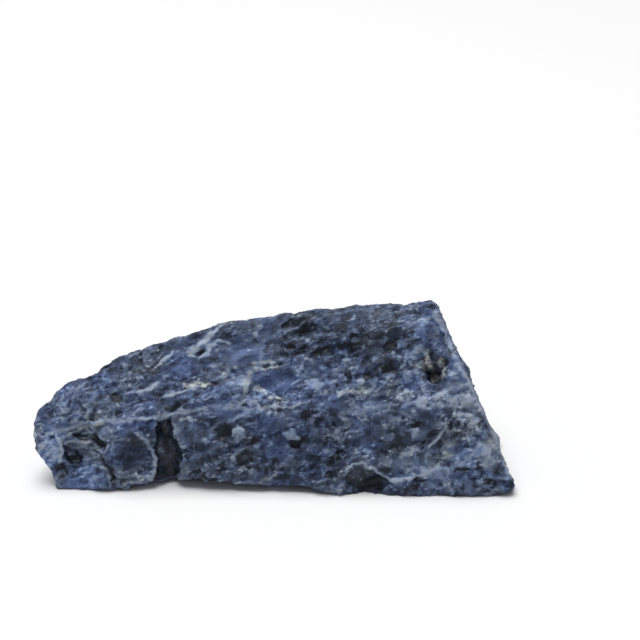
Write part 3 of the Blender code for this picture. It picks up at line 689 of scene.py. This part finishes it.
FOOT_BAND = ((386, 484), (409, 478), (427, 471), (450, 466), (470, 466))
ROUGH_FACET = ((176, 426), (180, 436), (184, 446))
LIGHT_SPOT = ((338, 354), (350, 352))
for line, width, strength in PALE_VEINS.values():
    draw_vein(front, line, width, "pale", strength)
for line, width, strength in CREAM_VEINS.values():
    draw_vein(front, line, width, "cream", strength)
draw_vein(front, FOOT_BAND, 9, "powder", 1)
draw_vein(front, ROUGH_FACET, 7, "light", 0.8)
draw_vein(front, LIGHT_SPOT, 6, "powder", 0.8)

# Broken edges of the front, which stand out further than the veins. Each has its line, width,
# mineral and strength, and how many millimetres it rises.
FRONT_RIDGES = {
    "lip over the holes": (((62, 439), (74, 431), (86, 426), (101, 424)), 4, "cream", 0.5, 0.25),
    "left wall of the holes": (((57, 436), (60, 444), (62, 452), (60, 460)), 4, "pale", 0.85, 0.25),
    "step between the holes": (((89, 442), (97, 448), (104, 454), (107, 447)), 3.5, "pale", 0.6, 0.4),
    "under the slot": (((66, 443), (76, 440), (88, 443)), 3.5, "cream", 0.5, 0.4),
    "splinter in the slot": (((80, 436), (92, 439)), 3, "cream", 0.4, 0.4),
    "edge of the left foot": (((86, 467), (98, 465), (107, 471), (110, 487)), 4, "pale", 0.6, 0.15),
    "rim of the dish": (((139, 433), (148, 443), (154, 454), (155, 466), (152, 481)), 5, "pale", 0.7, 0.15),
    "left of the dish": (((116, 436), (112, 446), (114, 458)), 3, "pale", 0.35, 0.2),
    "arch over the right foot": (
        ((345, 472), (352, 464), (362, 463), (371, 468), (382, 475), (395, 482)), 4, "pale", 0.75, 0.12),
    "fork, left arm": (((428, 448), (438, 438), (444, 430), (450, 421)), 4, "pale", 0.9, 0.12),
    "fork, right arm": (
        ((440, 422), (449, 422), (456, 416), (464, 413), (472, 415)), 4, "pale", 0.85, 0.12),
    "brown step of the cleft": (((172, 424), (175, 436), (181, 446)), 4, "cream", 0.25, 0.3),
}
for line, width, name, strength, raised in FRONT_RIDGES.values():
    draw_vein(front, line, width, name, strength, raised)

# The sides that the photograph hides carry the same kinds of marks, scattered: veins that run
# along the beds, small hollows, and patches of every look.
HIDDEN_SIDES = ((180, 25), (90, 15), (270, 15), (0, 85), (180, -60))
STONE_MIDDLE = (0, 0, 0.016)
FIELD = ((60, 240), (580, 420))
BEDS_CLIMB = math.radians(20)
VEINS_A_SIDE = 16
HOLLOWS_A_SIDE = 12
PATCHES_A_SIDE = 9
CORNERS = 7
random = np.random.default_rng(31)
for turn, tilt in HIDDEN_SIDES:
    pixels, faces = seen_from(turn, tilt, STONE_MIDDLE)
    view = pixels, faces * (1 - front[1])
    beds_run = np.array((math.cos(BEDS_CLIMB), -math.sin(BEDS_CLIMB)))
    if turn == 180:
        beds_run = beds_run * (1, -1)
    for _ in range(VEINS_A_SIDE):
        start = random.uniform(*FIELD)
        reach = random.uniform(15, 60)
        bend = random.normal(0, 4, (3, 2))
        line = [tuple(start + beds_run * reach * k / 2 + bend[k]) for k in range(3)]
        name = random.choice(("pale", "pale", "pale", "cream", "powder"))
        draw_vein(view, line, random.uniform(2.5, 6), name, random.uniform(0.4, 1))
    for _ in range(HOLLOWS_A_SIDE):
        place = random.uniform(*FIELD)
        radii = random.uniform(4, 13), random.uniform(3, 8)
        draw_hollow(view, place, radii, random.uniform(-20, 60), random.uniform(0.2, 0.9))
    for _ in range(PATCHES_A_SIDE):
        place = random.uniform(*FIELD)
        corners = np.sort(random.uniform(0, 2 * math.pi, CORNERS))
        reach = random.uniform(6, 26, CORNERS)
        outline = [tuple(place + r * np.array((math.cos(a), math.sin(a)))) for a, r in zip(corners, reach)]
        name = random.choice(("glass_and_shade", "powder", "frost", "deep", "blue", "light"))
        draw_patch(view, outline, name, random.uniform(0.4, 0.9), 3.0, random.uniform(0, 1))

# The skin is moved by the grain and the marks, and no point goes below the table. Tone runs from
# 0, dark, to 1, light, and hue from 0, greyer, to 1, bluer.
SMOOTHED_AWAY = 0.85
PROUD_HEIGHT = 0.10 * MM
PROUD_RUBBING = 6
MIDDLE_TONE = 0.47
relief = relief * (1 - SMOOTHED_AWAY * smooth) + pushed
moved = points + broad_outward * relief[:, None]
moved[:, 2] = np.maximum(moved[:, 2], 0)
lump.data.vertices.foreach_set("co", moved.astype(np.float32).ravel())
lump.data.update()
# Painted light and shade: points that stand proud of their neighbours are painted lighter and points in
# hollows darker, as if lit from above.
proud_shading = np.einsum("ij,ij->i", moved - rubbed(moved, PROUD_RUBBING), broad_outward)
proud_shading = np.clip(proud_shading / PROUD_HEIGHT, -1.5, 1.5)
tone = MIDDLE_TONE + (0.40 - 0.16 * streaky) * (mosaic - 0.5) + 0.28 * (fine_tone - 0.5)
tone += 0.14 * (shell_tone - 0.5) * (1 - streaky)
tone += 0.08 * proud_shading + 0.045 * cloud(7 * MM, 4)
tone += (0.5 - tone) * 0.5 * smooth
# Powder and light patches lift the tone, among them the painted light of the step; smoky grains, glassy
# faces and painted shade lower it.
tone += 0.16 * shares["powder"] + 0.2 * shares["light"]
tone -= 0.20 * shares["deep"] + 0.40 * shares["glass_and_shade"] ** 1.3
hue = 0.5 + 1.3 * (hue - 0.5) + 0.12 * cloud(6 * MM, 9)
hue += 0.25 * shares["powder"] + 0.5 * shares["blue"] - 0.5 * np.maximum(shares["glass_and_shade"], shares["grey"])
hue += (0.4 - hue) * np.maximum(shares["pale"], 0.7 * web)
shown = {name: shares[name] for name in SHOWN}
shown.update(tone=tone, hue=hue, web=web, smooth=smooth, streaky=streaky)
for name, values in shown.items():
    layer = lump.data.attributes.new(name, "FLOAT", "POINT")
    layer.data.foreach_set("value", np.clip(values, 0, 1).astype(np.float32))

# The skin keeps its finest faces where it is roughest, and has fewer where it is flat.
MOST_TRIANGLES = 196000
thinned = lump.modifiers.new("thinned", "DECIMATE")
thinned.ratio = MOST_TRIANGLES / (2 * len(lump.data.polygons))
bpy.ops.object.modifier_apply(modifier="thinned")
bpy.ops.object.shade_smooth()

# Its colours: a mosaic of navy, slate and steel-blue grains, some bluer and some greyer, with
# pale seams and grain borders, and dark glassy faces. Glossy where it is glassy.
TONES = {
    0.10: (0.008, 0.012, 0.021, 1),
    0.30: (0.024, 0.034, 0.060, 1),
    0.45: (0.051, 0.068, 0.114, 1),
    0.58: (0.086, 0.113, 0.180, 1),
    0.72: (0.143, 0.180, 0.258, 1),
    0.88: (0.250, 0.294, 0.370, 1),
    1.10: (0.400, 0.450, 0.530, 1),
}
BLUER = (0.76, 0.90, 1.24, 1)
GREYER = (1.11, 1.06, 0.91, 1)
CREAM = (0.60, 0.655, 0.65, 1)
rock = bpy.data.materials.new("rough sodalite")
rock.use_nodes = True
nodes = rock.node_tree.nodes
links = rock.node_tree.links
shader = nodes["Principled BSDF"]


def node(kind, settings=None, **inputs):
    """A node with its settings, and its inputs by name, or by number as in _0."""
    made = nodes.new("ShaderNode" + kind)
    for name, value in (settings or {}).items():
        setattr(made, name, value)
    for name, value in inputs.items():
        if name[0] == "_":
            socket = made.inputs[int(name[1:])]
        else:
            socket = made.inputs[name.replace("_", " ")]
        if isinstance(value, bpy.types.NodeSocket):
            links.new(value, socket)
        else:
            socket.default_value = value
    return made


def drawn(name):
    """The share of a mark that was drawn on the skin."""
    return node("Attribute", {"attribute_name": name}).outputs["Fac"]


def sum_of(first, second, times=1.0, plus=0.0):
    """first + times * second + plus."""
    part = node("Math", {"operation": "MULTIPLY_ADD"}, _0=second, _1=times, _2=plus)
    return node("Math", {"operation": "ADD"}, _0=first, _1=part.outputs[0]).outputs[0]


def swing(first, second, width):
    """first, made lighter and darker by a pattern: width is the whole swing."""
    return sum_of(first, second, width, -width / 2)


def product(first, second):
    return node("Math", {"operation": "MULTIPLY"}, _0=first, _1=second).outputs[0]


def between(value, low, high):
    """0 up to low, 1 from high."""
    soft = {"interpolation_type": "SMOOTHSTEP"}
    return node("MapRange", soft, Value=value, From_Min=low, From_Max=high).outputs[0]


def painted(under, over, share):
    mix = node("Mix", {"data_type": "RGBA"}, _0=share, _6=under, _7=over)
    return mix.outputs[2]


turned = Matrix(BEDS.tolist()).to_euler()
place = node("TexCoord").outputs["Object"]
beds_place = node("Mapping", {"vector_type": "POINT"}, Vector=place, Rotation=turned).outputs[0]
streak_place = node("Mapping", {}, Vector=beds_place, Scale=(650, 900, 1700)).outputs[0]
streaks = node("TexNoise", {}, Vector=streak_place, Scale=1.0, Detail=4.0, Roughness=0.65).outputs["Fac"]
speckle_place = node("Mapping", {}, Vector=beds_place, Scale=(1500, 1800, 2300)).outputs[0]
speckle = node("TexNoise", {}, Vector=speckle_place, Scale=1.0, Detail=4.0, Roughness=0.7).outputs["Fac"]
blot = node("TexNoise", {}, Vector=place, Scale=260.0, Detail=3.0, Roughness=0.6).outputs["Fac"]
mottle = node("TexNoise", {}, Vector=place, Scale=900.0, Detail=2.0, Roughness=0.5).outputs["Fac"]

# Its smallest grains, too fine for the skin: cells with wavering borders, each of one tone.
WAVER = 0.7 * MM
waver = node("TexNoise", {}, Vector=place, Scale=1300.0, Detail=2.0, Roughness=0.5).outputs["Color"]
bend = node("VectorMath", {"operation": "MULTIPLY_ADD"}, _0=waver, _1=(WAVER, WAVER, WAVER), _2=beds_place)


def cells(size, seed):
    """Cells squashed along the beds, and three random numbers of each."""
    squashed = tuple(share / size for share in (0.75, 0.9, 1.2))
    cell_place = node("Mapping", {}, Vector=bend.outputs[0], Location=(seed, seed, seed), Scale=squashed)
    made = node("TexVoronoi", {}, Vector=cell_place.outputs[0], Scale=1.0, Randomness=1.0)
    return made.outputs["Distance"], node("SeparateColor", {}, Color=made.outputs["Color"]).outputs


_, small_grain = cells(0.75 * MM, 3.0)
_, large_grain = cells(1.7 * MM, 7.0)
from_speck, chance = cells(1.3 * MM, 11.0)
speck = product(between(from_speck, 0.27, 0.17), between(chance[1], 0.62, 0.66))

# Patterns on top of each other: each swings the tone, less so on smooth faces. Frost, grain
# borders and pale seams then lift it, in broken patches.
STREAK_SWING = 0.6
SPECKLE_SWING = 0.18
MOTTLE_SWING = 0.26
SMALL_SWING = 0.26
LARGE_SWING = 0.22
BLOT_SWING = 0.25
FROST_LIFT = 0.32
WEB_LIFT = 0.34
SPECK_LIFT = 0.34
SEAM_LEVEL = 1.05
centred = node("Math", {"operation": "SUBTRACT"}, _0=streaks, _1=0.5).outputs[0]
noisy = product(centred, product(drawn("streaky"), STREAK_SWING))
noisy = swing(noisy, speckle, SPECKLE_SWING)
noisy = swing(noisy, mottle, MOTTLE_SWING)
noisy = swing(noisy, small_grain[0], SMALL_SWING)
noisy = swing(noisy, large_grain[0], LARGE_SWING)
calm = node("MapRange", {}, Value=drawn("smooth"), To_Min=1.0, To_Max=0.2).outputs[0]
level = sum_of(drawn("tone"), product(noisy, calm))
level = swing(level, blot, BLOT_SWING)
broken = swing(speckle, streaks, 0.4)
clumped = swing(mottle, speckle, 0.5)
level = sum_of(level, product(drawn("frost"), between(clumped, 0.44, 0.60)), FROST_LIFT)
level = sum_of(level, product(drawn("web"), between(broken, 0.34, 0.58)), WEB_LIFT)
level = sum_of(level, speck, SPECK_LIFT, -0.01)
seamed = product(drawn("pale"), between(broken, 0.12, 0.44))
level = node("Mix", {"data_type": "FLOAT"}, _0=seamed, _2=level, _3=SEAM_LEVEL).outputs[0]
tones = node("ValToRGB", {}, Fac=product(level, 1 / max(TONES)))
stops = tones.color_ramp.elements
stops.remove(stops[1])
for stop, colour in TONES.items():
    stops.new(stop / max(TONES)).color = colour
stops.remove(stops[0])
tint = painted(GREYER, BLUER, drawn("hue"))
multiplied = {"data_type": "RGBA", "blend_type": "MULTIPLY"}
colour = node("Mix", multiplied, _0=1.0, _6=tones.outputs["Color"], _7=tint)
colour = painted(colour.outputs[2], CREAM, product(drawn("cream"), between(broken, 0.30, 0.56)))
links.new(colour, shader.inputs["Base Color"])
DULL = 0.55
GLASSY = 0.25
SHEEN_OF_ROCK = 0.2
gloss = node("MapRange", {}, Value=drawn("glass_and_shade"), To_Min=DULL, To_Max=GLASSY).outputs[0]
shader.inputs["Specular IOR Level"].default_value = SHEEN_OF_ROCK
links.new(gloss, shader.inputs["Roughness"])
bumps = sum_of(speckle, streaks, 0.6)
bumps = product(bumps, node("MapRange", {}, Value=drawn("smooth"), To_Min=1.0, To_Max=0.08).outputs[0])
bump = node("Bump", {}, Strength=0.6, Distance=0.18 * MM, Height=bumps)
links.new(bump.outputs["Normal"], shader.inputs["Normal"])
lump.data.materials.clear()
lump.data.materials.append(rock)

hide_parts("rough_sodalite")
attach(lump, "root")

# The table top: a plain white sheet, big enough to fill every view.
SHEET_SIZE = 6
SHEET_WHITE = (0.9, 0.9, 0.9, 1)
bpy.ops.object.select_all(action="DESELECT")
bpy.ops.mesh.primitive_plane_add(size=SHEET_SIZE, location=(0, 0, 0))
table_top = bpy.context.object
table_top.name = "table_top"
white = bpy.data.materials.new("white sheet")
white.use_nodes = True
sheet = white.node_tree.nodes["Principled BSDF"]
sheet.inputs["Base Color"].default_value = SHEET_WHITE
sheet.inputs["Roughness"].default_value = 0.9
table_top.data.materials.append(white)

# The studio: one broad soft light overhead, and a white room that fills the shadows.
LIGHT_PLACE = (-0.3, 0.12, 2.0)
LIGHT_AIM = Vector((0, 0.1, 0))
LIGHT_WATTS = 43.0
ROOM_LIGHT = 0.27
bpy.ops.object.light_add(type="AREA", location=LIGHT_PLACE)
overhead = bpy.context.object
overhead.name = "overhead_softbox"
overhead.data.shape = "RECTANGLE"
overhead.data.size = 1.8
overhead.data.size_y = 1.4
overhead.data.energy = LIGHT_WATTS
overhead.rotation_euler = (LIGHT_AIM - overhead.location).to_track_quat("-Z", "Y").to_euler()
room = bpy.data.worlds.new("white room")
room.use_nodes = True
background = room.node_tree.nodes["Background"]
background.inputs["Color"].default_value = (1, 1, 1, 1)
background.inputs["Strength"].default_value = ROOM_LIGHT
bpy.context.scene.world = room
bpy.context.scene.view_settings.view_transform = "Standard"
